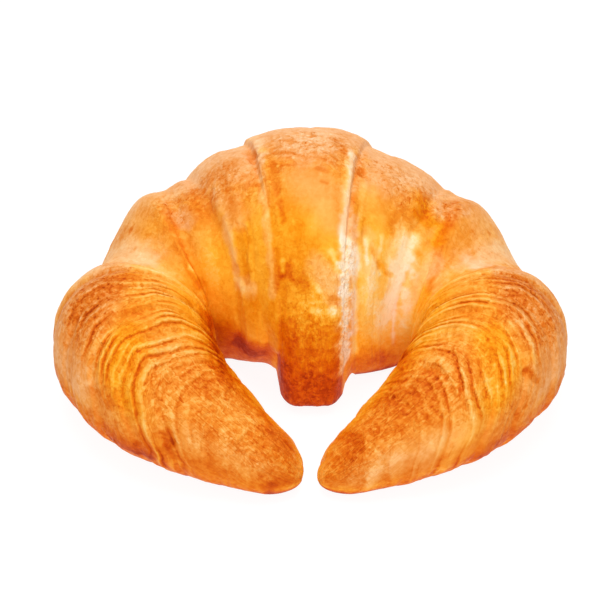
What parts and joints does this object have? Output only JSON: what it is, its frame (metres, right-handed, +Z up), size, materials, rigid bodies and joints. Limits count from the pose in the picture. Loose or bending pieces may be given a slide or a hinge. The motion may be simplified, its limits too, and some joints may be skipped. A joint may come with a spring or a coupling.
{
  "type": "butter croissant",
  "caption": "Crescent of rolled, baked dough with stepped wraps, curved tapering horns and a front flap of dough, resting on a flat underside.",
  "frame": {"origin": "on the floor plane, below the middle of the bounding box", "axes": "+X from horn to horn, to the right seen from the open side of the crescent; +Y from the open side towards the rounded back; +Z up from the underside"},
  "size_m": [0.1378, 0.109, 0.0549],
  "materials": {
    "crust": "egg-washed golden-brown baked crust, half glossy, redder on the elbows and tips and paler where the layers opened"
  },
  "bodies": {
    "root": {"croissant": "crust"}
  },
  "joints": []
}
